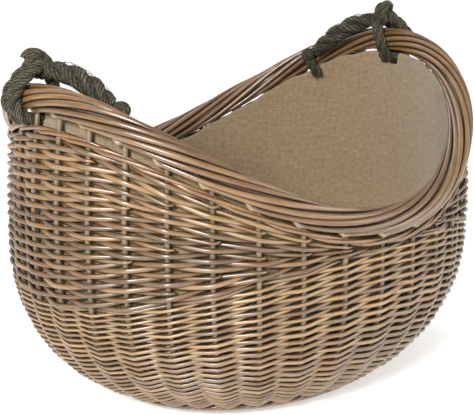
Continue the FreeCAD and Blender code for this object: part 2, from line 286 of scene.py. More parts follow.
def willow_material(name, palette, bright=(1.0, 1.0, 1.0), gloss=0.40, space="rod_space"):
    """Peeled and steamed willow: each rod its own tan, with streaks, blotches and a satin skin."""
    material, tree, shader = new_material(name)
    if space == "rod_space":
        source = node(tree, "Attribute", attribute_name="rod_space").outputs["Vector"]
        tint = node(tree, "Attribute", attribute_name="tint").outputs["Color"]
        parts = node(tree, "SeparateColor", {"Color": tint}).outputs
        hue, light, cut = parts[0], parts[1], parts[2]
    else:
        turned = node(tree, "TexCoord").outputs["Object"]
        source = node(tree, "Mapping", {"Vector": turned, "Rotation": (0, math.pi / 2, 0)}).outputs[0]
        hue = node(tree, "ObjectInfo").outputs["Random"]
        light = node(tree, "TexNoise", {"Vector": turned, "Scale": 9.0}).outputs["Fac"]
        cut = None
    streak = node(tree, "TexNoise", {"Vector": stretched(tree, source, (55.0, 900.0, 900.0)),
                                     "Scale": 1.0, "Detail": 4.0, "Roughness": 0.6}).outputs["Fac"]
    patch = node(tree, "TexNoise", {"Vector": stretched(tree, source, (22.0, 120.0, 120.0)),
                                    "Scale": 1.0, "Detail": 2.0}).outputs["Fac"]
    colour = ramp(tree, hue, palette)
    shade = ramp(tree, light, ((0.0, (0.50, 0.47, 0.44)), (0.5, (0.92, 0.92, 0.92)),
                               (1.0, (1.32, 1.30, 1.26))))
    colour = mix(tree, "MULTIPLY", 1.0, colour, shade)
    marks = ramp(tree, streak, ((0.30, (0.62, 0.56, 0.50)), (0.52, (1.0, 1.0, 1.0)),
                                (0.75, (1.16, 1.14, 1.10))))
    colour = mix(tree, "MULTIPLY", 0.75, colour, marks)
    blush = ramp(tree, patch, ((0.34, (0.74, 0.62, 0.53)), (0.5, (1.0, 1.0, 1.0)),
                               (0.68, (1.10, 1.12, 1.10))))
    colour = mix(tree, "MULTIPLY", 0.8, colour, blush)
    colour = mix(tree, "MULTIPLY", 1.0, colour, bright)
    if cut is not None:
        # painted shade on the side of each rod that lies against its neighbours, and on its back
        sides = node(tree, "SeparateXYZ", {"Vector": source}).outputs
        bearing = node(tree, "Math", {0: sides[2], 1: sides[1]}, operation="ARCTAN2").outputs[0]
        away = node(tree, "Math", {0: bearing}, operation="ABSOLUTE").outputs[0]
        gap_shade = node(tree, "MapRange", {"Value": away, "From Min": 0.75, "From Max": 1.55,
                                        "To Min": 0.0, "To Max": 1.0}).outputs[0]
        gap_shaded = mix(tree, "MULTIPLY", 1.0, colour, (0.26, 0.23, 0.20))
        colour = mix(tree, "MIX", gap_shade, colour, gap_shaded)
        colour = mix(tree, "MIX", cut, colour, (0.55, 0.46, 0.32))
    tree.links.new(colour, shader.inputs["Base Color"])
    rough = node(tree, "MapRange", {"Value": streak, "From Min": 0.3, "From Max": 0.7,
                                    "To Min": gloss - 0.07, "To Max": gloss + 0.13}).outputs[0]
    tree.links.new(rough, shader.inputs["Roughness"])
    bump = node(tree, "Bump", {"Height": streak, "Strength": 0.35, "Distance": 0.0004})
    tree.links.new(bump.outputs[0], shader.inputs["Normal"])
    shader.inputs["Specular IOR Level"].default_value = 0.75
    return material


TANS = ((0.0, (0.42, 0.275, 0.150)), (0.22, (0.50, 0.345, 0.195)), (0.45, (0.40, 0.305, 0.195)),
        (0.65, (0.56, 0.405, 0.235)), (0.85, (0.455, 0.335, 0.215)), (1.0, (0.36, 0.235, 0.140)))
BORDER_TANS = ((0.0, (0.46, 0.300, 0.165)), (0.3, (0.54, 0.375, 0.215)), (0.6, (0.47, 0.345, 0.210)),
               (0.8, (0.58, 0.420, 0.250)), (1.0, (0.43, 0.260, 0.150)))
GREYS = ((0.0, (0.36, 0.285, 0.195)), (0.5, (0.45, 0.365, 0.250)), (1.0, (0.30, 0.225, 0.150)))


def hessian_material():
    """Plain-woven jute: threads both ways, with slubs, painted shade in the holes and down the threads'
    sides, and a dry surface.
    """
    material, tree, shader = new_material("hessian")
    space = node(tree, "Attribute", attribute_name="rod_space").outputs["Vector"]
    slub = node(tree, "TexNoise", {"Vector": space, "Scale": 160.0, "Detail": 3.0}).outputs["Fac"]
    thread = 0.0019
    band_at_scale_one = 0.314                           # width of a wave texture's band
    heights = []
    for direction in ("X", "Y"):
        wave = node(tree, "TexWave", {"Vector": space, "Scale": band_at_scale_one / thread,
                                      "Distortion": 1.2, "Detail": 1.0, "Detail Scale": 2.0},
                    wave_type="BANDS", bands_direction=direction)
        heights.append(wave.outputs["Fac"])
    weave = node(tree, "Math", {0: heights[0], 1: heights[1]}, operation="MULTIPLY").outputs[0]
    over = node(tree, "Math", {0: heights[0], 1: heights[1]}, operation="MAXIMUM").outputs[0]
    height = node(tree, "Math", {0: weave, 1: over}, operation="ADD").outputs[0]
    streaks = node(tree, "TexNoise", {"Vector": stretched(tree, space, (25.0, 420.0, 1.0)), "Scale": 1.0,
                                      "Detail": 2.0}).outputs["Fac"]
    # painted shade: darkest in the holes between threads, lighter up the threads' sides to their crowns
    colour = ramp(tree, over, ((0.12, (0.055, 0.036, 0.018)), (0.45, (0.190, 0.130, 0.068)),
                               (1.0, (0.310, 0.222, 0.122))))
    colour = mix(tree, "MULTIPLY", 0.7, colour,
                 ramp(tree, slub, ((0.3, (0.7, 0.68, 0.64)), (0.7, (1.2, 1.18, 1.12)))))
    colour = mix(tree, "MULTIPLY", 0.35, colour,
                 ramp(tree, streaks, ((0.35, (0.75, 0.73, 0.70)), (0.65, (1.15, 1.14, 1.10)))))
    tree.links.new(colour, shader.inputs["Base Color"])
    bump = node(tree, "Bump", {"Height": height, "Strength": 0.6, "Distance": 0.0007})
    tree.links.new(bump.outputs[0], shader.inputs["Normal"])
    shader.inputs["Roughness"].default_value = 0.92
    shader.inputs["Sheen Weight"].default_value = 0.25
    shader.inputs["Sheen Roughness"].default_value = 0.6
    return material


def rope_material():
    """Dark natural rope: yarns twisted in each strand, painted dark in their grooves and light on their
    crowns, with paler worn fibres.
    """
    material, tree, shader = new_material("rope")
    space = node(tree, "Attribute", attribute_name="rod_space").outputs["Vector"]
    along, across, beside = node(tree, "SeparateXYZ", {"Vector": space}).outputs[:3]
    turn = node(tree, "Math", {0: beside, 1: across}, operation="ARCTAN2").outputs[0]
    yarns = node(tree, "Math", {0: turn, 1: 7.0}, operation="MULTIPLY").outputs[0]
    lay = node(tree, "Math", {0: along, 1: 520.0}, operation="MULTIPLY").outputs[0]
    phase = node(tree, "Math", {0: yarns, 1: lay}, operation="SUBTRACT").outputs[0]
    wobble = node(tree, "TexNoise", {"Vector": space, "Scale": 260.0, "Detail": 3.0}).outputs["Fac"]
    shifted = node(tree, "Math", {0: wobble, 1: 8.0, 2: phase}, operation="MULTIPLY_ADD").outputs[0]
    yarn = node(tree, "Math", {0: shifted}, operation="SINE").outputs[0]
    yarn = node(tree, "MapRange", {"Value": yarn, "From Min": -1.0, "From Max": 1.0}).outputs[0]
    fibre = node(tree, "TexNoise", {"Vector": stretched(tree, space, (180.0, 1500.0, 1500.0)),
                                    "Scale": 1.0, "Detail": 4.0}).outputs["Fac"]
    wear = node(tree, "TexNoise", {"Vector": space, "Scale": 45.0, "Detail": 3.0}).outputs["Fac"]
    # painted shade in the grooves between the yarns and painted highlight on their crowns, following the
    # yarns' twist
    colour = ramp(tree, yarn, ((0.0, (0.007, 0.006, 0.003)), (0.45, (0.031, 0.027, 0.015)),
                               (1.0, (0.078, 0.068, 0.038))))
    colour = mix(tree, "MULTIPLY", 0.8, colour,
                 ramp(tree, fibre, ((0.30, (0.30, 0.28, 0.24)), (0.52, (0.85, 0.85, 0.85)),
                                    (0.70, (2.8, 2.6, 2.2)))))
    colour = mix(tree, "MULTIPLY", 0.7, colour,
                 ramp(tree, wear, ((0.32, (0.65, 0.60, 0.55)), (0.5, (1.0, 1.0, 1.0)),
                                   (0.7, (1.45, 1.40, 1.25)))))
    tree.links.new(colour, shader.inputs["Base Color"])
    height = node(tree, "Math", {0: yarn, 1: fibre}, operation="ADD").outputs[0]
    bump = node(tree, "Bump", {"Height": height, "Strength": 0.8, "Distance": 0.0012})
    tree.links.new(bump.outputs[0], shader.inputs["Normal"])
    shader.inputs["Roughness"].default_value = 0.72
    shader.inputs["Sheen Weight"].default_value = 0.03
    shader.inputs["Specular IOR Level"].default_value = 0.35
    return material


weaver_willow = willow_material("weaver_willow", TANS, bright=(0.45, 0.40, 0.33), gloss=0.30)
packing_willow = willow_material("packing_willow", TANS, bright=(0.335, 0.275, 0.205), gloss=0.29)
# the border's and top wale's willow is darker than the weavers': partly the rods' own tone, partly painted
# shade over the whole border, which faces up into the lamps
border_willow = willow_material("border_willow", BORDER_TANS, bright=(0.305, 0.240, 0.168), gloss=0.27)
stake_willow = willow_material("stake_willow", GREYS, bright=(0.43, 0.385, 0.32), space="object")
base_willow = willow_material("base_willow", GREYS, bright=(0.50, 0.45, 0.38))
core_willow = willow_material("core_willow", ((0.0, (0.10, 0.07, 0.045)), (1.0, (0.16, 0.11, 0.07))))
hessian = hessian_material()
rope_fibre = rope_material()

for name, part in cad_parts.items():
    if name.startswith(("stake_", "base_stick")):
        part.data.materials.clear()
        part.data.materials.append(stake_willow)
        part.data.polygons.foreach_set("use_smooth", [True] * len(part.data.polygons))

# ---------------------------------------------------------------- the lower weave
STEPS = 6                       # points on a rod from one stake to the next
AROUND = STAKE_COUNT * STEPS
LOWER_ROWS = 45
RODS_PER_ROW = 3
ROW_GRADE = 0.22
FOOT_RUN = 0.013
WEAVE_RUN = 0.075               # below this the wall is wale
BASE_BANDS = 5
WEAVE_DEPTH = STAKE_RADIUS + 0.0020
WEAVER_SHARE = 0.56             # a weaver's radius, as a share of its row's height
END_TUCK = 0.0015               # how much further in a weaver's ends lie
angles = FIRST_STAKE + np.arange(AROUND) * GAP / STEPS
seam = seam_run(angles)
wale_foot = wale_run(angles)


def zigzag(stakes):
    """In front of even stakes (1) and behind odd ones (-1), and nearly straight between them."""
    return np.arcsin(0.975 * np.cos(np.pi * stakes)) / np.arcsin(0.975)


def drift(count, size, waves):
    """A slow wander round the basket that meets itself."""
    turn = 2 * np.pi * np.arange(count) / count
    total = np.zeros(count)
    for wave in range(2, waves):
        total += np.sin(wave * turn + random.uniform(0, 2 * np.pi)) / wave ** 0.5
    return size * total / max(1.0, waves ** 0.5)


def weave_lower(name, first, last, replaces):
    """Level rows, each of three weavers that go in front of one stake and behind the next."""
    bundle = Bundle()
    for row in range(first, last):
        place = (row + 0.5) / LOWER_ROWS                # rows are coarser lower down
        share = place + ROW_GRADE * place * (1 - place)
        pitch = (seam - WEAVE_RUN) / LOWER_ROWS * (1 + ROW_GRADE * (1 - 2 * place))
        run = WEAVE_RUN + (seam - WEAVE_RUN) * share + drift(AROUND, 0.0006, 16)
        length = AROUND // RODS_PER_ROW
        begin = STEPS * int(random.integers(0, STAKE_COUNT))
        for rod in range(RODS_PER_ROW):
            steps = begin + rod * length + np.arange(-3, length + 4)
            spot = steps % AROUND
            taper = np.linspace(1.08, 0.90, len(steps)) * random.uniform(0.92, 1.08)
            radius = WEAVER_SHARE * pitch[spot] * taper
            out = WEAVE_DEPTH * zigzag(steps / STEPS + row)
            out[:2] -= END_TUCK
            out[-2:] -= END_TUCK
            points, normals = wall(angles[spot], run[spot], out)
            points += random.normal(0, 0.00016, points.shape)
            bundle.sweep(points, radius, normals, rod_tint(0.50, 0.6), sides=8, flat=0.92)
    bundle.build(name, weaver_willow, "root", replaces)


def lay_wale(bundle, middle, radius, slant, light):
    """Three rods worked together, each in front of two stakes and behind the next."""
    steps = np.arange(AROUND)
    for rod in range(3):
        place = (steps / STEPS + rod) % 3.0
        depth = np.interp(place, (0, 0.5, 1.0, 1.5, 2.0, 2.5, 3.0),
                          (0.15, 0.95, 1.0, 0.95, 0.15, -0.9, 0.15)) * WALE_DEPTH
        rise = np.interp(place, (0, 0.5, 1.5, 2.0, 2.5, 3.0), (-0.85, -1.0, 1.0, 0.85, 0.0, -0.85)) * slant
        points, normals = wall(angles, middle + rise + drift(AROUND, 0.0004, 12), depth)
        bundle.sweep(points, radius, normals, rod_tint(light, 0.3), sides=8, closed=True)


def weave_base_wale():
    """Bands of wale that turn the base up into the wall."""
    bundle = Bundle()
    pitch = (WEAVE_RUN - FOOT_RUN) / BASE_BANDS
    for band in range(BASE_BANDS):
        middle = np.full(AROUND, FOOT_RUN + pitch * (band + 0.5))
        lay_wale(bundle, middle, 0.30 * pitch, 0.25 * pitch, 0.52)
    bundle.build("base_wale_rods", weaver_willow, "root")


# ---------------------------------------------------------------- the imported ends
PACK_PITCH = 0.0056
PACK_POINTS = 8                 # points on a rod from one stake to the next
PACK_DEPTH = STAKE_RADIUS + 0.0029
PACK_REACH = 8.5                # gaps between stakes from the basket's tip to the longest pair's turn
PACK_BULGE = 0.16               # how far past that a pair bulges as it turns back
PACK_THIN, PACK_THICK = 0.0010, 0.0036
GOLDEN = 0.618034               # spreads long and short pairs evenly up the wall


def pack_end(name, middle, replaces):
    """Pairs of coarse rods that turn back round the last stake they reach, so the end builds up."""
    def height(turns):
        angle = middle + turns * GAP
        return wale_run(angle) - seam_run(angle)

    scan = np.linspace(0, PACK_REACH + 0.4, 400)
    pairs_there = height(scan) / (2 * PACK_PITCH)
    number = int(pairs_there[0])
    ranks = np.arange(number)
    extent = np.array([scan[pairs_there > rank + 0.4].max() for rank in ranks])
    extent = np.clip(np.round(extent - 0.5) + 0.5, 0.5, PACK_REACH)
    order = np.argsort([(place * GOLDEN) % 1.0 for place in range(number)])
    extent = extent[order]

    def share_of(pair, turns):
        """How much of its width a row has left, towards its turn."""
        return np.clip((extent[pair] + 0.9 - np.abs(turns)) / 1.6, 0, 1)

    def level(pair, part, turns):
        """Distance up the wall of one rod of a pair, and its pitch there."""
        turns = np.asarray(turns, float)
        weights = np.array([share_of(p, turns) for p in range(number)]) + 1e-6
        total = weights.sum(axis=0) * 2
        under = weights[:pair].sum(axis=0) * 2 + weights[pair] * (part + 0.5)
        angle = middle + turns * GAP
        tall = height(turns)
        return seam_run(angle) + tall * under / total, tall * weights[pair] / total

    bundle = Bundle()
    for pair in range(number):
        reach = extent[pair]
        steps = np.arange(0, int(round(2 * reach)) * PACK_POINTS + 1)
        turns = -reach + steps / PACK_POINTS
        legs = []
        for part in (0, 1):
            run, pitch = level(pair, part, turns)
            out = PACK_DEPTH * zigzag(turns - 0.5 + part)
            legs.append((turns, run, out, pitch))
        turn = np.linspace(0, np.pi, 7)[1:-1]
        ends = []
        for side, low_leg, high_leg in ((1, legs[0], legs[1]), (-1, legs[1], legs[0])):
            at = -1 if side > 0 else 0
            there = side * (reach + PACK_BULGE * np.sin(turn))
            blend = (1 - np.cos(turn)) / 2
            run = low_leg[1][at] * (1 - blend) + high_leg[1][at] * blend
            out = low_leg[2][at] * (1 - blend) + high_leg[2][at] * blend
            pitch = np.full(len(turn), (low_leg[3][at] + high_leg[3][at]) / 2)
            ends.append((there, run, out, pitch))
        reverse = tuple(column[::-1] for column in legs[1])
        route = [np.concatenate(columns) for columns in zip(legs[0], ends[0], reverse, ends[1])]
        angle = middle + route[0] * GAP
        wander = 0.0006 * np.sin(route[0] * random.uniform(0.5, 0.9) + random.uniform(0, 6))
        points, normals = wall(angle, route[1] + wander, route[2])
        radius = np.clip(0.57 * route[3], PACK_THIN, PACK_THICK) * random.uniform(0.93, 1.07)
        radius = np.convolve(np.pad(radius, 2, mode="wrap"), np.ones(5) / 5, mode="valid")
        half = len(points) // 2
        tint = np.array([rod_tint(0.56, 0.7)] * len(points))
        tint[half:] = rod_tint(0.56, 0.7)
        bundle.sweep(points, radius, normals, tint, sides=8, flat=0.88, closed=True)
    bundle.build(name, packing_willow, "root", replaces)


# ---------------------------------------------------------------- wale under the border
def weave_top_wale():
    """The band of thin bright rods that follows the border."""
    bundle = Bundle()
    lay_wale(bundle, wale_foot + WALE_HEIGHT / 2 + WALE_LIFT, WALE_ROD, WALE_SLANT, 0.85)
    bundle.build("wale_rods", border_willow, "root", ["top_wale"])


# ---------------------------------------------------------------- rolled border
STROKE_ARC = math.radians(96)
STROKE_POINTS = 40
STROKE_RATE = 3.6               # degrees round the border for each degree along the rim
STROKE_START = -66              # degrees round the border, from straight outward
CORE_RADIUS = BORDER_RADIUS * 0.62


def roll_border():
    """Each stake's rod winds slowly round the border as it runs along the rim."""
    core = Bundle()
    rim_angles = np.linspace(0, 2 * np.pi, 180, endpoint=False)
    middle, _, _, up = rim_frame(rim_angles)
    core.sweep(middle, CORE_RADIUS, up, [0.5, 0.5, 0.0], sides=10, closed=True)
    core.build("border_core", core_willow, "root")
    bundle = Bundle()
    for stake in range(STAKE_COUNT):
        start = FIRST_STAKE + stake * GAP
        travel = np.linspace(0, 1, STROKE_POINTS)
        spread = STROKE_ARC * travel
        turn = np.radians(STROKE_START + random.normal(0, 2.5)) + spread * STROKE_RATE
        turn = turn + np.radians(3.0) * np.sin(spread * 5 + random.uniform(0, 6))
        # its start stands a little proud, and its tip dives under the next rods
        settle = BORDER_RADIUS - BORDER_ROD + random.normal(0, 0.0007)
        distance = settle - 0.0022 * np.clip((travel - 0.8) / 0.2, 0, 1)
        distance = distance + 0.0016 * np.exp(-travel * 18)
        thick = BORDER_ROD * random.uniform(0.92, 1.06)
        radius = thick * (1 - 0.18 * travel) * np.clip((1 - travel) / 0.05, 0.35, 1) ** 0.5
        angle = start + math.radians(1.0) + spread
        middle, _, outward, up = rim_frame(angle)
        ring = outward * np.cos(turn)[:, None] + up * np.sin(turn)[:, None]
        points = middle + ring * distance[:, None]
        # the rod leaves its stake inside the border and kinks at its outer lower edge
        foot_angle = np.array([start - 0.052, start - 0.030, start - 0.008])
        middle, _, outward, up = rim_frame(foot_angle)
        low_turn = np.radians(np.array([-48.0, -58.0, -68.0]))
        low_ring = outward * np.cos(low_turn)[:, None] + up * np.sin(low_turn)[:, None]
        entry = middle + low_ring * np.array([0.0085, 0.0125, 0.0165])[:, None]
        points = np.concatenate([entry, points])
        facing = np.concatenate([low_ring, ring])
        radius = np.concatenate([[thick * 0.8, thick * 0.84, thick * 0.92], radius])
        tint = np.tile(rod_tint(0.60, 0.5), (len(points), 1))
        tint[:3, 2] = 0.22
        bundle.sweep(points, radius, facing, tint, sides=10)
    bundle.build("border_rods", border_willow, "root", ["border"])


# ---------------------------------------------------------------- foot and base
FOOT_RING = 0.1395
FOOT_HEIGHT = 0.018
FOOT_ROD = 0.0047
FOOT_TWISTS = 9
FOOT_CORE = 0.0045
BASE_ROD_PITCH = 0.0045
BASE_ROD = 0.0023
STICK_SPACING = 0.026
BASE_START, BASE_END = 0.008, 0.129
BASE_WAVE = 0.0056


def weave_foot():
    """Four heavy rods twisted round each other: the ring that the basket stands on."""
    bundle = Bundle()
    turn = np.linspace(0, 2 * np.pi, 240, endpoint=False)
    spread = FOOT_HEIGHT / 2 - FOOT_ROD
    for rod in range(4):
        twist = FOOT_TWISTS * turn + rod * np.pi / 2
        ring = FOOT_RING + spread * 1.25 * np.cos(twist)
        points = np.stack([ring * np.cos(turn), WIDTH_RATIO * ring * np.sin(turn),
                           FOOT_HEIGHT / 2 + spread * np.sin(twist)], axis=-1)
        facing = np.stack([np.cos(turn), np.sin(turn), np.zeros_like(turn)], axis=-1)
        bundle.sweep(points, FOOT_ROD, facing, rod_tint(0.42, 0.4), sides=10, closed=True)
    ring = np.stack([FOOT_RING * np.cos(turn), WIDTH_RATIO * FOOT_RING * np.sin(turn),
                     np.full_like(turn, FOOT_HEIGHT / 2)], axis=-1)
    bundle.sweep(ring, FOOT_CORE, facing, [0.5, 0.1, 0.0], sides=8, closed=True)
    bundle.build("foot_rods", base_willow, "root", ["foot_wale"])


def weave_base():
    """Rods woven round the crossed sticks, in ovals from the middle to the foot ring."""
    bundle = Bundle()
    places = [STICK_SPACING * (index - 1.5) for index in range(4)]
    for row in range(int((BASE_END - BASE_START) / BASE_ROD_PITCH)):
        ring = BASE_START + BASE_ROD_PITCH * (row + 0.5)
        crossings = []
        for place in places:
            if abs(place) < ring - 0.001:
                first = math.asin(place / ring)
                crossings += [first, math.pi - first]
                second = math.acos(place / ring)
                crossings += [second, -second]
        crossings = sorted(value % (2 * math.pi) for value in crossings)
        turn = np.linspace(0, 2 * np.pi, max(48, 8 * len(crossings)), endpoint=False)
        if crossings:
            knots = np.array([crossings[-1] - 2 * math.pi] + crossings + [crossings[0] + 2 * math.pi])
            phase = np.interp(turn, knots, np.arange(len(knots)))
            wave = np.cos(np.pi * (phase + row))
        else:
            wave = np.zeros_like(turn)
        points = np.stack([ring * np.cos(turn), WIDTH_RATIO * ring * np.sin(turn),
                           BASE_LEVEL + BASE_WAVE * wave], axis=-1)
        facing = np.tile([0.0, 0.0, 1.0], (len(turn), 1))
        bundle.sweep(points, BASE_ROD, facing, rod_tint(0.45, 0.5), sides=6, closed=True)
    bundle.build("base_rods", base_willow, "root", ["base_weave"])


# ---------------------------------------------------------------- hessian liner
LINER_OUT = -0.0093            # from the middle of the wall, inward
LINER_THICK = 0.0010
LINER_START = 0.004            # distance up the wall of its lower edge
NOTCH_DEPTH, NOTCH_HALF_ANGLE = 0.019, 0.055
PRESS_SPAN = 0.31              # distance up the wall over which the rows press into the cloth
MEAN_RADIUS = 0.27             # turns an angle into a length of cloth, for its texture
PANEL_EDGE, PANEL_LEVEL = 0.1354, 0.0193


def closed_sheet(outer, inner, space, name, replaces):
    """A cloth with two faces: grids of points [up, around], joined along their edges."""
    rows, columns = outer.shape[:2]
    points = np.concatenate([outer.reshape(-1, 3), inner.reshape(-1, 3)])
    size = rows * columns
    faces = []
    for row in range(rows - 1):
        for column in range(columns):
            beside = (column + 1) % columns
            a, b = row * columns + column, row * columns + beside
            c, d = a + columns, b + columns
            faces.append([a, b, d, c])
            faces.append([size + a, size + c, size + d, size + b])
    for column in range(columns):
        beside = (column + 1) % columns
        faces.append([column, size + column, size + beside, beside])
        top = (rows - 1) * columns
        faces.append([top + column, top + beside, size + top + beside, size + top + column])
    local = np.concatenate([space.reshape(-1, 3)] * 2)
    tint = np.tile([0.5, 0.5, 0.0], (len(points), 1))
    return make_piece(name, points, faces, hessian, "root", replaces, local, tint)


def sew_liner():
    """The liner's wall, with soft folds, a hem and a notch at each high eye."""
    columns = 2 * AROUND
    around = np.arange(columns) * 2 * np.pi / columns
    rows = 96
    share = np.linspace(0, 1, rows)[:, None]
    top = saddle_run(around, RIM_LOW - LINER_BELOW_RIM, RIM_RISE)
    top = top + 0.0012 * np.sin(around * 19 + 0.6) + 0.0008 * np.sin(around * 41)
    for high_place, _ in HANDLES.values():
        off = (around - math.radians(high_place) + math.pi) % (2 * math.pi) - math.pi
        top = top - NOTCH_DEPTH * np.exp(-(off / NOTCH_HALF_ANGLE) ** 10)
    run = LINER_START + (top[None] - LINER_START) * share
    angle = np.tile(around, (rows, 1))
    press = np.cos(np.pi * (angle - FIRST_STAKE) / GAP) * np.cos(np.pi * LOWER_ROWS * run / PRESS_SPAN)
    folds = 0.0016 * np.sin(angle * 11 + 2 * np.sin(angle * 3)) * share ** 2
    hem = 0.0006 * np.clip((share - 0.955) / 0.01, 0, 1)
    out = LINER_OUT + 0.0002 * press - np.abs(folds)
    outer = wall(angle, run, out + LINER_THICK / 2)[0]
    inner = wall(angle, run, out - LINER_THICK / 2 - hem)[0]
    space = np.stack([angle * MEAN_RADIUS, run, 0 * angle], axis=-1)
    cloth = closed_sheet(outer, inner, space, "liner_cloth", ["liner_wall"])


def sew_liner_base():
    """The liner's oval bottom panel, lying on the base with soft puckers."""
    columns, rows = 144, 24
    around = np.arange(columns) * 2 * np.pi / columns
    share = np.linspace(0.001, 1, rows)[:, None]
    angle = np.tile(around, (rows, 1))
    ring = PANEL_EDGE * share
    lift = 0.0006 * np.sin(angle * 5 + share * 9) * share + 0.0005 * np.sin(share * 40)
    level = PANEL_LEVEL + lift
    top = np.stack([ring * np.cos(angle), WIDTH_RATIO * ring * np.sin(angle), level], axis=-1)
    bottom = top - np.array([0, 0, LINER_THICK])
    space = np.stack([top[..., 0], top[..., 1], 0 * angle], axis=-1)
    cloth = closed_sheet(top, bottom, space, "liner_bottom", ["liner_base"])


weave_base_wale()
weave_lower("lower_rods_a", 0, LOWER_ROWS // 2, [])
weave_lower("lower_rods_b", LOWER_ROWS // 2, LOWER_ROWS, ["lower_weave"])
pack_end("packed_rods_right", 0.0, ["end_weave_right"])
pack_end("packed_rods_left", math.pi, ["end_weave_left"])
weave_top_wale()
roll_border()
weave_foot()
weave_base()
sew_liner()
sew_liner_base()


# ---------------------------------------------------------------- rope handles
def smooth_line(points, count):
    """A curve through all the points, evenly read."""
    points = np.asarray(points, float)
    padded = np.concatenate([[2 * points[0] - points[1]], points, [2 * points[-1] - points[-2]]])
    line = []
    for index in range(1, len(padded) - 2):
        before, here, there, after = padded[index - 1:index + 3]
        for t in np.linspace(0, 1, 24, endpoint=False):
            slope = there - before
            bend = 2 * before - 5 * here + 4 * there - after
            twist = 3 * here - before - 3 * there + after
            line.append(0.5 * (2 * here + slope * t + bend * t ** 2 + twist * t ** 3))
    line.append(points[-1])
    line = np.array(line)
    length = np.concatenate([[0], np.cumsum(np.linalg.norm(np.diff(line, axis=0), axis=1))])
    wanted = np.linspace(0, length[-1], count)
    return np.stack([np.interp(wanted, length, line[:, axis]) for axis in range(3)], axis=-1)


def carried_frame(path):
    """Two directions across a path that don't twist along it."""
    forward = unit(np.gradient(path, axis=0))
    first = np.cross(forward[0], [0.3, 0.2, 1.0])
    across = [first / np.linalg.norm(first)]
    for direction in forward[1:]:
        moved = across[-1] - direction * np.dot(across[-1], direction)
        across.append(moved / np.linalg.norm(moved))
    across = np.array(across)
    return across, np.cross(forward, across)


def strand_paths(path, radius):
    """The three strands of a rope laid round a path, with the way each faces and its radius."""
    radius = np.broadcast_to(radius, len(path))
    across, beside = carried_frame(path)
    step = np.concatenate([[0], np.linalg.norm(np.diff(path, axis=0), axis=1)])
    twist = 2 * np.pi * np.cumsum(step / (6.6 * radius))
    strands = []
    for strand in range(3):
        turn = twist + 2 * np.pi * strand / 3
        ring = across * np.cos(turn)[:, None] + beside * np.sin(turn)[:, None]
        strands.append((path + ring * (0.5 * radius)[:, None], ring, 0.5 * radius))
    return strands


def lay_rope(bundle, path, radius):
    """A rope of three strands along a path."""
    for points, ring, strand_radius in strand_paths(path, radius):
        bundle.sweep(points, strand_radius, ring, [0.5, 0.5, 0.0], sides=12)


def add_fibres(bundle, path, radius, number):
    """Loose fibre ends that stand off the rope."""
    across, beside = carried_frame(path)
    radius = np.broadcast_to(radius, len(path))
    for _ in range(number):
        at = int(random.integers(1, len(path) - 2))
        turn = random.uniform(0, 2 * np.pi)
        ring = across[at] * math.cos(turn) + beside[at] * math.sin(turn)
        forward = unit(path[at + 1] - path[at - 1]) * random.choice([-1, 1])
        side = np.cross(ring, forward)
        reach = random.uniform(0.004, 0.011)
        travel = np.linspace(0, 1, 5)[:, None]
        points = (path[at] + ring * (radius[at] * 0.93 + 0.0022 * travel * random.uniform(0.3, 1.0))
                  + forward * reach * travel + side * 0.003 * random.uniform(-1, 1) * travel ** 2)
        bundle.sweep(points, np.linspace(0.00022, 0.0001, 5), np.tile(ring, (5, 1)), [0.5, 0.5, 0.0], sides=3)


# round the border from the knot, up through it and round again to end under the border:
# outward, up and along the rim, as shares of the turns' radius
EYE_ROUTE = (
    (-0.35, 1.50, 0.05), (0.10, 1.86, -0.12), (0.60, 1.42, -0.30), (0.92, 0.72, -0.33), (1.0, 0.0, -0.33),
    (0.76, -0.66, -0.30), (0.16, -1.0, -0.18), (-0.55, -0.86, -0.05), (-1.0, -0.15, 0.0),
    (-0.93, 0.55, 0.0), (-0.60, 1.15, 0.02), (-0.15, 1.60, 0.10), (0.25, 1.62, 0.26), (0.66, 1.26, 0.33),
    (0.93, 0.66, 0.33), (1.0, 0.0, 0.33), (0.76, -0.66, 0.32), (0.16, -1.0, 0.30), (-0.45, -0.92, 0.34))


def rope_frame(degrees):
    """Foot of a rope on the rim, and the ways along the rim, up and outward."""
    middle, along, outward, up = (row[0] for row in rim_frame(np.array([math.radians(degrees)])))
    return middle, along, up, outward


def knot_centre(degrees):
    """Where the grip's neck leaves its knot, which is one end of the hinge."""
    foot, _, up, _ = rope_frame(degrees)
    return foot + up * KNOT_RISE


def low_end_centre(degrees):
    """Where the grip ends inside the border, which is the hinge's other end."""
    foot, _, up, outward = rope_frame(degrees)
    return foot - outward * LOW_END_INSIDE + up * LOW_END_RISE


def grip_route(high, low, inward):
    """Middle line and thickness of the rope from knot to low end; it bows a little in and up."""
    along = low - high
    span = np.linalg.norm(along)
    along = along / span
    side = unit(inward - along * np.dot(along, inward))
    up = unit(np.array([0, 0, 1.0]) - along * along[2])
    path = smooth_line([high, high + along * KNOT_NECK,
                        high + along * (0.45 * span) + side * 0.003 + up * 0.006,
                        high + along * (0.72 * span) + side * 0.003 + up * 0.003,
                        high + along * (span - 0.0115) - up * LOW_END_SAG], 170)
    share = np.linspace(0, 1, len(path))
    thick = np.interp(share, (0, 0.22, 0.34, 0.46, 0.74, 0.90, 1),
                      (0.0090, 0.0092, 0.0112, GRIP_RADIUS, GRIP_RADIUS, 0.0100, 0.0075))
    return path, thick


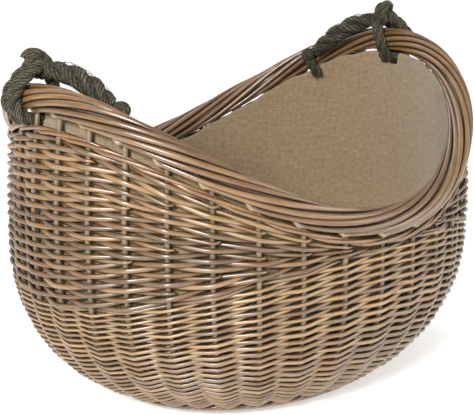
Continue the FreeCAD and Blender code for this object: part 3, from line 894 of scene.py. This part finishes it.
def make_high_eye(label, degrees, low):
    """Rope taken twice round the border, crossed into a knot above it, with the neck of the grip."""
    foot, along, up, outward = rope_frame(degrees + EYE_CREEP)
    centre = knot_centre(degrees)
    slip = unit(low - centre)
    big = BORDER_RADIUS + EYE_ROPE + ROPE_PLAY
    bundle = Bundle()
    # the eyes lean after the slipped knot, more the higher they stand
    route = [foot + (outward * o + up * u + along * a) * big
             + slip * KNOT_LEAN * min(1.0, max(0.0, (u - 0.1) / 1.5)) for o, u, a in EYE_ROUTE]
    path = smooth_line(route, 330)
    lay_rope(bundle, path, EYE_ROPE)
    add_fibres(bundle, path, EYE_ROPE, 130)
    crown = centre + slip * KNOT_LEAN + up * 0.001
    spin = np.linspace(0.4, 2 * np.pi * KNOT_TURNS, 60)
    inner = KNOT_RADIUS - KNOT_ROPE
    path = (crown + np.outer(np.cos(spin) * inner, unit(outward + 0.35 * along))
            + np.outer(np.sin(spin) * inner * 0.95, up)
            + np.outer(np.linspace(-KNOT_HALF_WIDTH, KNOT_HALF_WIDTH, 60), slip))
    lay_rope(bundle, path, KNOT_ROPE)
    add_fibres(bundle, path, KNOT_ROPE, 40)
    path, thick = grip_route(centre, low, -outward)
    reach = np.linalg.norm(path - centre, axis=1)
    neck = (reach > KNOT_LEAN) & (reach <= KNOT_NECK)
    for points, ring, strand_radius in strand_paths(path, thick):
        bundle.sweep(points[neck], strand_radius[neck], ring[neck], [0.5, 0.5, 0.0], sides=12)
    bundle.build(label + "_rope", rope_fibre, "root", [label])


def make_low_end(label, degrees, high):
    """The grip's low end inside the border: bound with twine, its tail turned down inside the liner."""
    foot, _, up, outward = rope_frame(degrees)
    crown = low_end_centre(degrees) - up * LOW_END_SAG
    bundle = Bundle()
    tail = smooth_line([crown + up * 0.002, foot - outward * 0.0275 - up * 0.011,
                        foot - outward * 0.0205 - up * TAIL_DROP], 60)
    lay_rope(bundle, tail, ROPE_RADIUS)
    axis = unit(crown - high)
    across = unit(np.cross(axis, up))
    over = np.cross(across, axis)
    spin = np.linspace(0, 2 * np.pi * BINDING_TURNS, 150)
    shift = np.linspace(-BINDING_HALF_WIDTH, BINDING_HALF_WIDTH, 150)
    swell = np.sqrt(np.maximum(LOW_END_RADIUS ** 2 - shift ** 2, 0)) - 0.0012
    ring = np.outer(np.cos(spin), across) + np.outer(np.sin(spin), over)
    binding = crown + ring * swell[:, None] + np.outer(shift, axis)
    bundle.sweep(binding, TWINE_RADIUS, ring, [0.5, 0.5, 0.0], sides=6)
    core = crown + np.outer(np.linspace(-0.0095, 0.0095, 9), axis)
    bundle.sweep(core, 0.0088 * np.array([0.5, 0.8, 0.95, 1, 1, 1, 0.95, 0.8, 0.5]),
                 np.tile(over, (9, 1)), [0.5, 0.5, 0.0], sides=16)
    add_fibres(bundle, tail, ROPE_RADIUS, 30)
    bundle.build(label + "_rope", rope_fibre, "root", [label])


def make_grip(side, high, low, outward):
    """The thick grip, which swings about the line from the knot to the low end."""
    path, thick = grip_route(high, low, -outward)
    body = np.linalg.norm(path - high, axis=1) > KNOT_NECK + 0.0004
    bundle = Bundle()
    for points, ring, strand_radius in strand_paths(path, thick):
        bundle.sweep(points[body], strand_radius[body], ring[body], [0.5, 0.5, 0.0], sides=14)
    add_fibres(bundle, path[body], thick[body], 480)
    bundle.build(side + "_grip_rope", rope_fibre, side + "_handle", [side + "_grip"])


for side, (high_place, low_place) in HANDLES.items():
    knot, end = knot_centre(high_place), low_end_centre(low_place)
    make_high_eye(side + "_high_eye", high_place, end)
    make_low_end(side + "_low_end", low_place, knot)
    make_grip(side, knot, end, rope_frame(high_place)[3])


# ---------------------------------------------------------------- floor, light and camera
FLOOR_REACH, FLOOR_GLOW = 9.0, 0.42
LIT_POINT = (0, 0, 0.22)
LIGHTS = (                      # name, place, size across and power in watts
    ("key", (-2.3, -1.3, 1.6), 0.8, 125),
    ("fill", (1.4, -2.3, 1.1), 1.6, 30),
    ("back", (0.6, 2.2, 2.2), 1.6, 20))
WORLD_STRENGTH = 0.62
CAMERA_AZIMUTH, CAMERA_ELEVATION, CAMERA_ROLL = (math.radians(turn) for turn in (-43.07, 15.96, -0.9))
CAMERA_DISTANCE, CAMERA_AIM = 1.685, 0.215
LENS, SENSOR_WIDTH, SHIFT_X, SHIFT_Y = 96.4, 36.0, -0.0172, 0.0050


def make_floor():
    mesh = bpy.data.meshes.new("floor")
    corners = [(x * FLOOR_REACH, y * FLOOR_REACH, 0) for x, y in ((-1, -1), (1, -1), (1, 1), (-1, 1))]
    mesh.from_pydata(corners, [], [(0, 1, 2, 3)])
    material, tree, shader = new_material("floor")
    grain = node(tree, "TexNoise", {"Scale": 4.0})
    colour = ramp(tree, grain.outputs["Fac"], ((0.0, (0.90, 0.90, 0.895)), (1.0, (0.93, 0.93, 0.925))))
    tree.links.new(colour, shader.inputs["Base Color"])
    shader.inputs["Roughness"].default_value = 0.9
    shader.inputs["Emission Color"].default_value = (1.0, 1.0, 1.0, 1.0)
    shader.inputs["Emission Strength"].default_value = FLOOR_GLOW
    mesh.materials.append(material)
    floor = bpy.data.objects.new("floor", mesh)
    bpy.context.scene.collection.objects.link(floor)


def area_light(name, place, size, power):
    data = bpy.data.lights.new(name, "AREA")
    data.shape = "DISK"
    data.size = size
    data.energy = power
    light = bpy.data.objects.new(name, data)
    light.location = place
    light.rotation_mode = "QUATERNION"
    light.rotation_quaternion = (Vector(LIT_POINT) - Vector(place)).to_track_quat("-Z", "Y")
    bpy.context.scene.collection.objects.link(light)


def make_camera():
    """The camera looks at the basket's axis from its front left, a little above."""
    data = bpy.data.cameras.new("camera")
    data.sensor_width = SENSOR_WIDTH
    data.lens = LENS
    data.shift_x = SHIFT_X
    data.shift_y = SHIFT_Y
    camera = bpy.data.objects.new("camera", data)
    level = math.cos(CAMERA_ELEVATION)
    back = Vector((math.sin(CAMERA_AZIMUTH) * level, -math.cos(CAMERA_AZIMUTH) * level,
                   math.sin(CAMERA_ELEVATION)))
    camera.location = Vector((0, 0, CAMERA_AIM)) + back * CAMERA_DISTANCE
    camera.rotation_mode = "QUATERNION"
    facing = (-back).to_track_quat("-Z", "Y")
    camera.rotation_quaternion = facing @ Quaternion((0, 0, 1), CAMERA_ROLL)
    bpy.context.scene.collection.objects.link(camera)
    bpy.context.scene.camera = camera


make_floor()
for name, place, size, power in LIGHTS:
    area_light(name, place, size, power)
world = bpy.data.worlds.new("studio")
world.use_nodes = True
sky = world.node_tree.nodes["Background"].inputs
sky["Color"].default_value = (1.0, 1.0, 1.0, 1.0)
sky["Strength"].default_value = WORLD_STRENGTH
bpy.context.scene.world = world
bpy.context.scene.view_settings.view_transform = "Standard"
make_camera()
